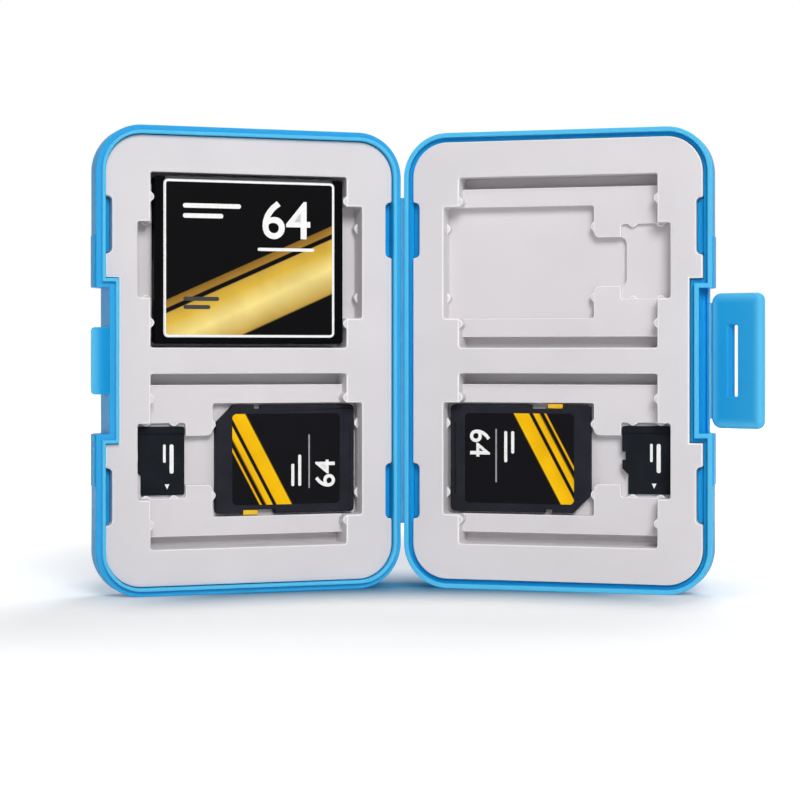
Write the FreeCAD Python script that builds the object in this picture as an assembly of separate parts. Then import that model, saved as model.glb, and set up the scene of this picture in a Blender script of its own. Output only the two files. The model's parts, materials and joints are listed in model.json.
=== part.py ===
import FreeCAD, Part
import math
import os

# A hinged polypropylene case for memory cards, standing open like a book.
# Each half is drawn lying open: X runs out from the hinge line, Y is the depth below the parting plane
# and Z runs up the hinge. The lid is the mirror image of the base, swung forward round the hinge line.

# case halves
case_height = 102.0
half_width = 69.2
half_depth = 10.5
corner_radius = 10.0
back_radius = 5.5
wall = 1.95
floor_thickness = 1.6
rim_gap = 0.05
rim_edge = 0.2
opening_angle = 145.0

# how far a cutter runs past the faces that it opens, and how closely edges are told apart
overcut = 1.0
same_place = 1e-5
parallel_angle = 2.0

# tongue on the lid and rebate in the base
land = 1.05
lip_gap = 0.15
lip_height = 1.0
lip_end_gap = 0.4
lip_edge = 0.2

# spine web, a strip thin enough to fold
hinge_gap = 0.3
spine_web_inset = 14.35
spine_web_drop = 0.25
web_thickness = 0.4

# recess in both side walls that takes the latch, and the raised grip pads beside it
recess_length = 31.6
recess_depth = 2.9
pad_run = 11.2
pad_rise = 0.25
pad_drop = 0.8
pad_edge = 0.15

# latch, its web and the ledge that carries it
latch_side_gap = 1.15
latch_reach = 12.6
latch_thickness = 2.2
latch_sink = 0.6
latch_offset = 2.2
latch_drop = 2.6
latch_web_width = 0.7
latch_web_inset = 2.05
latch_lean = 22.0
latch_inner_corner = 2.2
latch_outer_corner = 1.7
latch_edge = 0.55
ledge_depth = 3.4
ledge_edge = 0.8

# slot in the latch, narrower at its back, and the lug on the lid that it snaps over
slot_start = 4.5
slot_width = 2.4
slot_inset = 6.9
slot_taper = 0.75
slot_corner = 0.4
slot_edge = 0.3
lug_gap = 0.15
lug_end_gap = 0.5
lug_start = 0.55
lug_taper = 0.7
lug_reach = 3.4

# soft trays, with side notches that drop over keys on the shells' walls
tray_gap = 0.15
tray_drop = 0.25
tray_edge = 0.3
pocket_rib = 5.7
pocket_margin = 4.1
pocket_corner = 0.8
groove_width = 2.45
groove_skin = 1.3
tray_notch_length = 12.4
tray_notch_depth = 1.45
tray_notch_spread = 58.6
tray_notch_corner = 1.1
tray_notch_flat = 0.05
key_gap = 0.15
tab_width = 6.1
tab_corner = 1.3
channel_width = 10.8
channel_overrun = 1.1
channel_corner = 1.5
nub_radius = 0.95
nub_sides = 8
nub_drop = 0.5
pinch_gap = 0.03

# large card
cf_width = 42.8
cf_height = 36.4
cf_thickness = 3.3
cf_side_gap = 0.85
cf_end_gap = 0.85
cf_face_gap = 0.2
cf_offset = 0.4
cf_nub_gap = 0.2
cf_corner = 0.8
cf_rail = 1.9
cf_bar = 1.3
cf_shelf = 0.5
cf_cover = 0.25
cf_cover_gap = 0.1
cf_label_margin = 0.15
cf_label_corner = 0.9
cf_connector_height = 3.2
cf_pin_pitch = 1.27
cf_pin_count = 25
cf_pin_hole = 0.65
cf_pin_depth = 2.4
cf_row_gap = 1.27
cf_key_width = 1.5
cf_key_depth = 1.0
label_thickness = 0.1

# middle card
sd_length = 32.0
sd_width = 24.0
sd_thickness = 2.1
sd_end_gap = 0.75
sd_edge_gap = 0.5
sd_face_gap = 0.1
sd_nub_inset = 4.2
sd_corner = 1.0
sd_chamfer = 4.0
sd_skin = 0.7
sd_board_margin = 2.0
sd_index_width = 1.6
sd_index_depth = 0.75
sd_index_place = 6.5
sd_lock_start = 2.6
sd_lock_run = 7.2
sd_lock_depth = 0.9
sd_tab_length = 3.4
sd_tab_width = 1.2
sd_tab_thickness = 1.3
sd_tab_gap = 0.1
sd_tongue_width = 0.6
sd_tongue_thickness = 0.5
sd_contact_count = 9
sd_contact_pitch = 2.2
sd_contact_width = 1.5
sd_contact_length = 3.4
sd_contact_inset = 2.4
sd_contact_gap = 0.1
sd_label_side = 1.9
sd_label_foot = 3.4
sd_label_top = 3.7
sd_grip_inset = 0.8
sd_grip_width = 0.5
sd_grip_length = 16.0
sd_grip_depth = 0.3
contact_thickness = 0.06

# small card
micro_width = 11.0
micro_length = 15.0
micro_thickness = 1.0
micro_thin = 0.7
micro_grip = 1.6
micro_edge_gap = 0.2
micro_end_gap = 0.75
micro_nub_inset = 2.4
micro_corner = 0.5
micro_step = 1.35
micro_step_height = 4.3
micro_slope = 1.3
micro_notch_depth = 0.75
micro_notch_height = 1.8
micro_notch_place = 0.9
micro_contact_count = 8
micro_contact_pitch = 1.1
micro_contact_width = 0.8
micro_contact_length = 2.9
micro_contact_inset = 0.9

# lengths and places that follow from the sizes
reach = hinge_gap + half_width
v_middle = case_height / 2
u_middle = hinge_gap + half_width / 2
recess_wall = reach - recess_depth
fold_angle = 180.0 - opening_angle
cavity_floor = half_depth - floor_thickness
rebate_floor = rim_gap + lip_height + lip_end_gap
spine_web_length = case_height - 2 * spine_web_inset
latch_fold_line = recess_wall + latch_offset
latch_length = recess_length - 2 * latch_side_gap
latch_web_length = latch_length - 2 * latch_web_inset
slot_length = latch_length - 2 * slot_inset

# the pockets stand off the tray's edges and each other by ribs, which give way alike in a small case
tray_inset = wall + tray_gap
tray_hinge_edge = hinge_gap + tray_inset
tray_step = recess_wall - tray_inset
cf_pocket_width = cf_width + 2 * cf_side_gap
cf_pocket_height = cf_height + 2 * cf_end_gap
sd_pocket_length = sd_length + 2 * sd_end_gap
sd_pocket_width = sd_width + 2 * sd_edge_gap
micro_pocket_width = micro_width + 2 * micro_edge_gap
height_room = case_height - 2 * tray_inset - 2 * cf_pocket_height
rib = pocket_rib * min(1, height_room / (pocket_rib + 2 * pocket_margin))
width_room = tray_step - tray_hinge_edge - sd_pocket_length - micro_pocket_width
squeeze = min(1, width_room / (tab_width + 2 * pocket_margin))
tab = tab_width * squeeze
margin = pocket_margin * squeeze
pocket_pitch = cf_pocket_height + rib
upper_pocket = v_middle + pocket_pitch / 2
lower_pocket = v_middle - pocket_pitch / 2
micro_middle = tray_step - margin - micro_pocket_width / 2
sd_middle = micro_middle - micro_pocket_width / 2 - tab - sd_pocket_length / 2
cf_middle = u_middle + cf_offset * squeeze

# the tray's side notches, tabs and edges are limited by the walls that they leave
hinge_margin = sd_middle - sd_pocket_length / 2 - tray_hinge_edge
notch_depth = min(tray_notch_depth, hinge_margin / 2)
notch_corner = min(tray_notch_corner, notch_depth - tray_edge - tray_notch_flat)
tab_round = min(tab_corner, tab / 4)
cf_margin = tray_step - cf_middle - cf_pocket_width / 2
thinnest = min(hinge_margin - notch_depth, margin, cf_margin, rib, (height_room - rib) / 2)
soft_edge = min(tray_edge, thinnest / 4)

# levels of the tray, from its face down
tray_face = rim_gap + tray_drop
cf_ledge = tray_face + cf_face_gap + cf_thickness
sd_floor = cf_ledge + sd_face_gap + sd_thickness
micro_floor = cf_ledge + micro_thickness

up = FreeCAD.Vector(0, 0, 1)
inward = FreeCAD.Vector(0, 1, 0)


def point(x, y, z):
    return FreeCAD.Vector(x, y, z)


def span(middle, size):
    return (middle - size / 2, middle + size / 2)


def box(u, v, w):
    return Part.makeBox(u[1] - u[0], w[1] - w[0], v[1] - v[0], point(u[0], w[0], v[0]))


def edges_along(solid, direction):
    least = math.cos(math.radians(parallel_angle))
    return [e for e in solid.Edges if abs(e.tangentAt(e.FirstParameter).dot(direction)) > least]


def edges_at_depth(solid, depth):
    found = []
    for edge in solid.Edges:
        ends = [edge.valueAt(edge.FirstParameter), edge.valueAt(edge.LastParameter)]
        middle = edge.valueAt((edge.FirstParameter + edge.LastParameter) / 2)
        if all(abs(p.y - depth) < same_place for p in ends + [middle]):
            found.append(edge)
    return found


def rounded_box(u, v, w, radius):
    solid = box(u, v, w)
    return solid.makeFillet(radius, edges_along(solid, inward))


def prism(outline, w):
    # a closed outline of (x, z) points, carried from the first depth to the second
    wire = Part.makePolygon([point(x, w[0], z) for x, z in outline + outline[:1]])
    return Part.Face(wire).extrude(point(0, w[1] - w[0], 0))


def fused(solids):
    return solids[0].multiFuse(solids[1:]).removeSplitter()


def recess_block(inset):
    # the latch recess, grown by the inset so that the wall round it keeps its thickness
    u = (recess_wall - inset, reach + overcut)
    v = span(v_middle, recess_length + 2 * inset)
    return box(u, v, (-half_depth, half_depth + overcut))


def plan_block(inset, front, back):
    # the outline of a half, drawn in by the inset, without the recess
    u = (hinge_gap + inset, reach - inset)
    v = (inset, case_height - inset)
    return rounded_box(u, v, (front, back), corner_radius - inset)


def basin(inset, front, back, back_slope):
    # the space inside a half, or what fills it, with its floor corners sloped under the rounded back
    block = plan_block(inset, front, back)
    block = block.makeChamfer(back_slope, edges_at_depth(block, back))
    return block.cut(recess_block(inset))


def rim_block(inset, front, back):
    return plan_block(inset, front, back).cut(recess_block(inset))


def grip_pads():
    pads = []
    face = reach + pad_rise
    for side in (-1, 1):
        v = span(v_middle + side * (recess_length + pad_run) / 2, pad_run)
        pad = box((reach - wall / 2, face), v, (rim_gap + pad_drop, half_depth - back_radius))
        outer = [e for e in pad.Edges if all(abs(p.X - face) < same_place for p in e.Vertexes)]
        pads.append(pad.makeChamfer(pad_edge, outer))
    return pads


def side_notches(inset, front):
    # the four notches in a tray's sides, or the keys that stand in them when drawn in by the inset
    notches = []
    for edge_u in (tray_hinge_edge, reach - tray_inset):
        for side in (-1, 1):
            u = span(edge_u, 2 * (notch_depth - inset))
            v = span(v_middle + side * tray_notch_spread / 2, tray_notch_length - 2 * inset)
            notches.append(rounded_box(u, v, (front, half_depth), notch_corner - inset))
    return Part.makeCompound(notches)


def half_shell():
    outer = plan_block(0, rim_gap, half_depth)
    outer = outer.makeFillet(back_radius, edges_at_depth(outer, half_depth)).cut(recess_block(0))
    outer = outer.makeChamfer(rim_edge, edges_at_depth(outer, rim_gap))
    cavity = basin(wall, -half_depth, cavity_floor, back_radius - wall)
    cavity = cavity.cut(side_notches(key_gap, rebate_floor))
    return fused([outer.cut(cavity)] + grip_pads())


def lip():
    tip = rim_gap - lip_height
    ring = rim_block(land + lip_gap, tip, rim_gap + land).cut(rim_block(wall, tip, half_depth))
    return ring.makeChamfer(lip_edge, edges_at_depth(ring, tip))


def lug():
    # wedge that the latch slot drops over, ramped on the side where the latch comes down
    root = recess_wall - wall / 2
    face = latch_fold_line - latch_sink
    tip = recess_wall + lug_reach
    near = slot_start - latch_drop + lug_gap
    far = slot_start + slot_width - latch_drop - lug_gap
    start = rim_gap + lug_start
    outline = [(root, start), (recess_wall, start), (face, near), (tip, near + lug_taper)]
    outline += [(tip, far - lug_taper), (face, far), (root, far)]
    v = span(v_middle, slot_length - 2 * lug_end_gap)
    wire = Part.makePolygon([point(u, w, v[0]) for u, w in outline + outline[:1]])
    return Part.Face(wire).extrude(up * (v[1] - v[0]))


def lid_shell():
    return fused([half_shell(), lip(), lug()])


def latch_ledge():
    u = (recess_wall - wall / 2, latch_fold_line - latch_web_width / 2)
    ledge = box(u, span(v_middle, recess_length), (latch_drop, latch_drop + ledge_depth))
    outer = [e for e in edges_along(ledge, up) if abs(e.Vertexes[0].X - u[1]) < same_place]
    under = [e for e in outer if e.Vertexes[0].Y > latch_drop + ledge_depth / 2]
    return ledge.makeFillet(ledge_edge, under)


def base_shell():
    rebate = rim_block(land, -half_depth, rebate_floor)
    return fused([half_shell().cut(rebate), latch_ledge()])


def bent_web(start_u, front, half_gap, length, bend):
    # strip bent round an arc that meets the flat faces on both sides of the fold line squarely
    radius = half_gap / math.tan(math.radians(bend / 2))
    centre = point(start_u, front - radius, v_middle - length / 2)
    outer = Part.makeCylinder(radius + web_thickness, length, centre, up, bend)
    inner = Part.makeCylinder(radius, length, centre, up)
    return outer.cut(inner), centre


def spine_web():
    front = rim_gap + spine_web_drop
    half_gap = hinge_gap + front * math.tan(math.radians(fold_angle / 2))
    web, centre = bent_web(hinge_gap, front, half_gap, spine_web_length, fold_angle)
    return web.rotate(centre, up, 90)


def latch_web():
    edge = latch_fold_line - latch_web_width / 2
    web, centre = bent_web(edge, latch_drop, latch_web_width / 2, latch_web_length, latch_lean)
    return web.rotate(centre, up, 90 - latch_lean)


def latch():
    u = (latch_fold_line + latch_web_width / 2, latch_fold_line + latch_reach)
    w = (latch_drop - latch_sink, latch_drop - latch_sink + latch_thickness)
    slab = box(u, span(v_middle, latch_length), w)
    corners = edges_along(slab, inward)
    slab = slab.makeFillet(latch_inner_corner, [e for e in corners if e.Vertexes[0].X < u[0] + latch_edge])
    corners = [e for e in edges_along(slab, inward) if e.Vertexes[0].X > u[1] - latch_edge]
    slab = slab.makeFillet(latch_outer_corner, corners)
    slab = slab.makeChamfer(latch_edge, edges_at_depth(slab, w[0]) + edges_at_depth(slab, w[1]))
    slot_u = (latch_fold_line + slot_start, latch_fold_line + slot_start + slot_width)
    slab = slab.cut(latch_slot(slot_u, w))
    mouth = []
    for edge in edges_at_depth(slab, w[0]) + edges_at_depth(slab, w[1]):
        centre = edge.BoundBox.Center
        beside = slot_u[0] - same_place < centre.x < slot_u[1] + same_place
        if beside and abs(centre.z - v_middle) < slot_length / 2 + same_place:
            mouth.append(edge)
    return slab.makeChamfer(slot_edge, mouth)


def latch_slot(u, w):
    # cutter whose side towards the fold line slants like the lug's, so that the slot narrows to its back
    slope = slot_taper / (w[1] - w[0])
    near = u[0] - slope * overcut
    far = u[0] + slot_taper + slope * overcut
    front, back = w[0] - overcut, w[1] + overcut
    outline = [(near, front), (u[1], front), (u[1], back), (far, back)]
    wire = Part.makePolygon([point(x, y, v_middle - slot_length / 2) for x, y in outline + outline[:1]])
    slot = Part.Face(wire).extrude(up * slot_length)
    corners = [e for e in slot.Edges if e.BoundBox.YLength > w[1] - w[0]]
    return slot.makeFillet(min(slot_corner, (u[1] - far) / 3), corners)


def pocket(v):
    # one stepped pocket: large card at the top level, middle and small cards let into its floor
    mouth = tray_face - overcut
    cf_u = span(cf_middle, cf_pocket_width)
    cf_v = span(v, cf_pocket_height)
    sd_u = span(sd_middle, sd_pocket_length)
    micro_u = span(micro_middle, micro_pocket_width)
    micro_v = span(v, micro_length + 2 * micro_end_gap)
    channel_end = micro_u[0] + channel_overrun
    groove_floor = cavity_floor - groove_skin
    sd_block = rounded_box(sd_u, span(v, sd_pocket_width), (mouth, sd_floor), pocket_corner)
    micro_block = rounded_box(micro_u, micro_v, (mouth, micro_floor), pocket_corner)
    return fused([
        rounded_box(cf_u, cf_v, (mouth, cf_ledge), pocket_corner),
        box(cf_u, (cf_v[1] - groove_width, cf_v[1]), (cf_ledge - pocket_corner, groove_floor)),
        box(cf_u, (cf_v[0], cf_v[0] + groove_width), (cf_ledge - pocket_corner, groove_floor)),
        with_channel(sd_block, sd_u[1], v, (sd_middle, channel_end), (mouth, sd_floor)),
        with_channel(micro_block, micro_u[0], v, (sd_u[1], micro_middle), (mouth, micro_floor)),
    ])


def with_channel(block, side_u, v, channel_u, w):
    # a pocket joined to the finger channel, with the tab's corners rounded where the channel opens out of its side
    channel_v = span(v, channel_width)
    joined = fused([block, rounded_box(channel_u, channel_v, w, channel_corner)])
    corners = []
    for edge in edges_along(joined, inward):
        place = edge.Vertexes[0].Point
        if abs(place.x - side_u) < same_place and min(abs(place.z - z) for z in channel_v) < same_place:
            corners.append(edge)
    return joined.makeFillet(tab_round, corners)


def nub(u, v, w):
    # an upright rib whose flat sides stand at the nub's radius, one of them towards the card
    turn = 2 * math.pi / nub_sides
    corner = nub_radius / math.cos(turn / 2)
    angles = [turn * (place + 0.5) for place in range(nub_sides)]
    return prism([(u + corner * math.cos(a), v + corner * math.sin(a)) for a in angles], w)


def pocket_nubs(v):
    # upright ribs that pinch each card by its edges
    stand_off = pinch_gap + nub_radius
    cf_place = sd_pocket_width / 2 + cf_nub_gap + nub_radius
    sd_place = sd_width / 2 - sd_nub_inset
    micro_place = micro_width / 2 - micro_nub_inset
    micro_w = (micro_floor - micro_thin, micro_floor)
    nubs = []
    for side in (-1, 1):
        for half in (-1, 1):
            cf_u = cf_middle + side * (cf_width / 2 + stand_off)
            nubs.append(nub(cf_u, v + half * cf_place, (tray_face + nub_drop, cf_ledge)))
            sd_u = sd_middle + side * (sd_length / 2 + stand_off)
            nubs.append(nub(sd_u, v + half * sd_place, (cf_ledge + nub_drop, sd_floor)))
            micro_v = v + side * (micro_length / 2 + stand_off)
            nubs.append(nub(micro_middle + half * micro_place, micro_v, micro_w))
    return nubs


def tray():
    body = basin(tray_inset, tray_face, cavity_floor, back_radius - wall + tray_gap)
    body = body.cut(side_notches(0, tray_face - overcut))
    for v in (upper_pocket, lower_pocket):
        body = body.cut(pocket(v))
    body = body.makeChamfer(soft_edge, edges_at_depth(body, tray_face))
    return fused([body] + pocket_nubs(upper_pocket) + pocket_nubs(lower_pocket))


def cf_window(margin):
    # (x, z) extent of the opening in the large card's frame, open at its connector end
    x = cf_width / 2 - cf_rail - margin
    return (-x, x), (-cf_height / 2 + cf_bar + margin, cf_height / 2)


def cf_recess():
    return cf_cover + label_thickness


def cf_frame():
    frame = rounded_box(span(0, cf_width), span(0, cf_height), (0, cf_thickness), cf_corner)
    x, z = cf_window(cf_shelf)
    frame = frame.cut(box(x, (z[0], cf_height), (-overcut, cf_thickness + overcut)))
    x, z = cf_window(0)
    for w in ((-overcut, cf_recess()), (cf_thickness - cf_cover, cf_thickness + overcut)):
        frame = frame.cut(box(x, (z[0], cf_height / 2 - cf_shelf), w))
    key = span(cf_thickness / 2, cf_key_width)
    for side in (-1, 1):
        rail = span(side * cf_width / 2, 2 * cf_key_depth)
        frame = frame.cut(box(rail, (0, cf_height), key))
    return frame


def cf_plate(w, margin, corner):
    x, z = cf_window(cf_cover_gap + margin)
    top = cf_height / 2 - cf_shelf - cf_cover_gap - margin
    return rounded_box(x, (z[0], top), w, corner)


def cf_connector():
    # socket block between the rails, with two rows of pin holes in its end face
    x, z = cf_window(cf_shelf)
    w = (cf_recess(), cf_thickness - cf_cover)
    block = box(x, (z[1] - cf_connector_height, z[1]), w)
    holes = []
    for row in (-1, 1):
        depth = span(sum(w) / 2 + row * cf_row_gap / 2, cf_pin_hole)
        for place in range(cf_pin_count):
            across = (place - (cf_pin_count - 1) / 2) * cf_pin_pitch
            holes.append(box(span(across, cf_pin_hole), (z[1] - cf_pin_depth, z[1] + overcut), depth))
    return block.cut(Part.makeCompound(holes))


def cf_card():
    cover_corner = cf_label_corner + cf_label_margin
    return {
        "cf_frame": cf_frame(),
        "cf_front_cover": cf_plate((label_thickness, cf_recess()), 0, cover_corner),
        "cf_back_cover": cf_plate((cf_thickness - cf_cover, cf_thickness), 0, cover_corner),
        "cf_label": cf_plate((0, label_thickness), cf_label_margin, cf_label_corner),
        "cf_connector": cf_connector(),
    }


def sd_outline(w):
    # plan of the middle card with its cut corner, index notch and lock notch
    x = span(0, sd_length)
    z = span(0, sd_width)
    through = (w[0] - overcut, w[1] + overcut)
    far = x[1] + overcut
    low = z[0] - overcut
    corner = [(far, low), (far, z[0] + sd_chamfer + overcut), (x[1] - sd_chamfer - overcut, low)]
    body = rounded_box(x, z, w, sd_corner)
    body = body.cut(prism(corner, through))
    body = body.cut(box(span(sd_index_place, sd_index_width), (low, z[0] + sd_index_depth), through))
    return body.cut(box(sd_lock_span(), (z[1] - sd_lock_depth, z[1] + overcut), through))


def sd_lock_span():
    return (sd_lock_start, sd_lock_start + sd_lock_run)


def sd_board_span():
    x, z = span(0, sd_length), span(0, sd_width)
    return ((x[0] + sd_board_margin, x[1] - sd_board_margin),
            (z[0] + sd_board_margin + sd_index_depth, z[1] - sd_board_margin - sd_lock_depth))


def sd_board_outline(w):
    # circuit board, cut back at the corner where the card is cut
    x, z = sd_board_span()
    cut = sd_chamfer - sd_index_depth
    return prism([(x[0], z[0]), (x[1] - cut, z[0]), (x[1], z[0] + cut), (x[1], z[1]), (x[0], z[1])], w)


def sd_tongue_groove():
    # slot behind the lock notch, in the parting plane of the two shells, that guides the lock tab
    floor_z = sd_width / 2 - sd_lock_depth
    z = (floor_z - sd_tongue_width - sd_tab_gap, floor_z + overcut)
    return box(sd_lock_span(), z, span(sd_thickness / 2, sd_tongue_thickness + 2 * sd_tab_gap))


def sd_contact_boxes(growth, w):
    x1 = sd_length / 2 - sd_contact_inset + growth
    x = (x1 - sd_contact_length - 2 * growth, x1)
    boxes = []
    for place in range(sd_contact_count):
        z = (place - (sd_contact_count - 1) / 2) * sd_contact_pitch + sd_index_depth / 2
        boxes.append(box(x, span(z, sd_contact_width + 2 * growth), w))
    return boxes


def sd_label_span():
    x = (-sd_length / 2 + sd_label_foot, sd_length / 2 - sd_label_top)
    return x, span(0, sd_width - 2 * sd_label_side)


def sd_grip_groove():
    # thumbnail groove across the front, at the end that stays out of the reader
    x0 = -sd_length / 2 + sd_grip_inset
    return box((x0, x0 + sd_grip_width), span(0, sd_grip_length), (-overcut, sd_grip_depth))


def sd_card():
    middle = sd_thickness / 2
    cavity = sd_board_outline((sd_skin, sd_thickness - sd_skin))
    label = rounded_box(*sd_label_span(), (0, label_thickness), sd_corner)
    front = sd_outline((0, middle)).cut(cavity).cut(sd_tongue_groove()).cut(label).cut(sd_grip_groove())
    board_back = sd_thickness - sd_skin
    windows = sd_contact_boxes(sd_contact_gap, (board_back - overcut, sd_thickness + overcut))
    back = sd_outline((middle, sd_thickness)).cut(cavity).cut(sd_tongue_groove())
    back = back.cut(Part.makeCompound(windows))
    pads = sd_contact_boxes(0, (board_back, board_back + contact_thickness))
    return {
        "front": front,
        "back": back,
        "label": label,
        "board": cavity,
        "contacts": Part.makeCompound(pads),
        "lock": sd_lock_tab(),
    }


def sd_lock_tab():
    x1 = sd_lock_start + sd_lock_run - sd_tab_gap
    x = (x1 - sd_tab_length, x1)
    floor_z = sd_width / 2 - sd_lock_depth
    top_z = floor_z + sd_tab_width
    head = box(x, (floor_z + sd_tab_gap, top_z), span(sd_thickness / 2, sd_tab_thickness))
    tongue = box(x, (floor_z - sd_tongue_width, top_z), span(sd_thickness / 2, sd_tongue_thickness))
    return fused([head, tongue])


def micro_outline(w):
    # plan of the small card, contact end down, with its stepped and notched side
    x = span(0, micro_width)
    z = span(0, micro_length)
    through = (w[0] - overcut, w[1] + overcut)
    side = x[0] - overcut
    low = z[0] - overcut
    shoulder = z[0] + micro_step_height
    step = [(side, low), (x[0] + micro_step, low), (x[0] + micro_step, shoulder),
            (x[0], shoulder + micro_slope), (side, shoulder + micro_slope)]
    body = rounded_box(x, z, w, micro_corner).cut(prism(step, through))
    notch = span(micro_notch_place, micro_notch_height)
    return body.cut(box((side, x[0] + micro_notch_depth), notch, through))


def micro_card():
    # thin card with a thicker grip across its upper end and contacts let into its back
    body = micro_outline((0, micro_thickness))
    x, z = span(0, micro_width), span(0, micro_length)
    thin_x = (x[0] - overcut, x[1] + overcut)
    thin_z = (z[0] - overcut, z[1] - micro_grip)
    body = body.cut(box(thin_x, thin_z, (-overcut, micro_thickness - micro_thin)))
    pads = []
    z0 = z[0] + micro_contact_inset
    for place in range(micro_contact_count):
        across = (place - (micro_contact_count - 1) / 2) * micro_contact_pitch + micro_step / 2
        w = (micro_thickness - contact_thickness, micro_thickness)
        pads.append(box(span(across, micro_contact_width), (z0, z0 + micro_contact_length), w))
    contacts = Part.makeCompound(pads)
    return {"body": body.cut(contacts), "contacts": contacts}


def seated(shape, x, z, w, turn):
    # a card part turned in its own plane and set with its front face at the given depth
    placed = shape.copy()
    placed.rotate(point(0, 0, 0), inward, turn)
    placed.translate(point(x, w, z))
    return placed


def flipped(shape):
    return shape.mirror(point(0, 0, 0), point(1, 0, 0))


def base_parts():
    parts = {
        "base_shell": base_shell(),
        "base_tray": tray(),
        "spine_web": spine_web(),
        "latch_web": latch_web(),
    }
    for name, shape in sd_card().items():
        parts["sd_right_" + name] = seated(shape, sd_middle, lower_pocket, sd_floor - sd_thickness, 0)
    for name, shape in micro_card().items():
        parts["micro_right_" + name] = seated(shape, micro_middle, lower_pocket, cf_ledge, 0)
    parts["latch"] = latch().rotate(point(latch_fold_line, latch_drop, 0), up, -latch_lean)
    return parts


def lid_parts():
    parts = {"lid_shell": flipped(lid_shell()), "lid_tray": flipped(tray())}
    for name, shape in cf_card().items():
        parts[name] = seated(shape, -cf_middle, upper_pocket, cf_ledge - cf_thickness, 0)
    for name, shape in sd_card().items():
        parts["sd_left_" + name] = seated(shape, -sd_middle, lower_pocket, sd_floor - sd_thickness, 180)
    for name, shape in micro_card().items():
        parts["micro_left_" + name] = seated(shape, -micro_middle, lower_pocket, cf_ledge, 0)
    for shape in parts.values():
        shape.rotate(point(0, 0, 0), up, fold_angle)
    return parts


def main():
    os.makedirs("parts", exist_ok=True)
    parts = base_parts()
    parts.update(lid_parts())
    bounds = Part.makeCompound(list(parts.values())).optimalBoundingBox()
    shift = point(-bounds.Center.x, -bounds.Center.y, -bounds.ZMin)
    for name, shape in parts.items():
        shape.translate(shift)
        shape.exportStep("parts/" + name + ".step")
        print(name, shape.isValid(), len(shape.Solids), round(shape.Volume, 2))
    print("size", bounds.XLength, bounds.YLength, bounds.ZLength)
    print("hinge line", shift.x, shift.y)
    print("latch fold line", latch_fold_line + shift.x, latch_drop + shift.y)
    print("pocket middles", upper_pocket, lower_pocket, cf_middle, sd_middle, micro_middle)
    print("levels", tray_face, cf_ledge, sd_floor, micro_floor)


main()
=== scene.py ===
import json
import math
import bpy
from mathutils import Matrix, Vector


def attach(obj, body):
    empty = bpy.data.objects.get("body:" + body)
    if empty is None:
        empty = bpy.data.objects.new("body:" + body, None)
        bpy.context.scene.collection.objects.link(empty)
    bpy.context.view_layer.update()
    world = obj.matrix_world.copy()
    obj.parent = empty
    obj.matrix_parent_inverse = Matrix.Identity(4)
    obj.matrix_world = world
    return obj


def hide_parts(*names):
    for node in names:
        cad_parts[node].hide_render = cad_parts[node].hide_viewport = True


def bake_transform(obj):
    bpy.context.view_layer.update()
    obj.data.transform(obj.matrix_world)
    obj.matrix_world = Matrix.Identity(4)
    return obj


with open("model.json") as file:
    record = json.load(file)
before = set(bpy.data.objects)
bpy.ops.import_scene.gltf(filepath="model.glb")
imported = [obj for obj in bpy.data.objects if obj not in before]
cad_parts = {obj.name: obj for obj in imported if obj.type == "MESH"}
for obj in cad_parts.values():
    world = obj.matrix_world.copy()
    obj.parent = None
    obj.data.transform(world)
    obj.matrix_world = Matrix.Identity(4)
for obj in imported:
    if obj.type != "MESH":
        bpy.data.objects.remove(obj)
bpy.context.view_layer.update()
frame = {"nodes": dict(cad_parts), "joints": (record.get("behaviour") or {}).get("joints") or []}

mm = 0.001
tiny = 0.002  # how closely edges are told apart, in mm
nearby = 0.05  # how near to a place an edge counts as standing there, in mm
overcut = 1.0  # how far a cutter reaches past what it cuts, in mm

joints = {joint["name"]: joint for joint in frame["joints"]}
hingeLine = Vector(joints["lid_hinge"]["pos_m"][:2] + [0.0])
latchLine = Vector(joints["latch_hinge"]["pos_m"][:2] + [0.0])
foldAngle = math.radians(joints["lid_hinge"]["range_deg"][1])
latchLean = math.radians(joints["latch_hinge"]["range_deg"][1])

# Each half is drawn lying open, in mm: x runs out from the hinge line, y is the depth below the rims and
# z runs up. standBase and standLid then set a finished piece where the frame has it.

# gaps in mm, angles in degrees
meshing = {
    "seamGap": 0.0005, "cutGap": 0.01, "flatAngle": 0.4, "softAngle": 40, "smoothAngle": 38,
    "normalWeight": 60,
}


def clearSelection():
    if bpy.context.object and bpy.context.object.mode != "OBJECT":
        bpy.ops.object.mode_set(mode="OBJECT")
    bpy.ops.object.select_all(action="DESELECT")


def pick(piece):
    clearSelection()
    piece.select_set(True)
    bpy.context.view_layer.objects.active = piece


def freeze(piece):
    pick(piece)
    bpy.ops.object.transform_apply(location=True, rotation=True, scale=True)
    return piece


def editAll(piece):
    pick(piece)
    bpy.ops.object.mode_set(mode="EDIT")
    bpy.ops.mesh.select_all(action="SELECT")


def emptySelection(piece, kind):
    # leaves nothing in the mesh selected, so that its points, edges or faces can be chosen in code
    pick(piece)
    bpy.ops.object.mode_set(mode="EDIT")
    bpy.ops.mesh.select_mode(type=kind)
    bpy.ops.mesh.select_all(action="DESELECT")
    bpy.ops.object.mode_set(mode="OBJECT")


def around(middle, size):
    return (middle - size / 2, middle + size / 2)


def block(name, x, z, y):
    # a box from its three spans
    clearSelection()
    bpy.ops.mesh.primitive_cube_add(size=1)
    piece = bpy.context.object
    piece.name = name
    piece.scale = [(span[1] - span[0]) * mm for span in (x, y, z)]
    piece.location = [(span[0] + span[1]) / 2 * mm for span in (x, y, z)]
    return freeze(piece)


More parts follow.
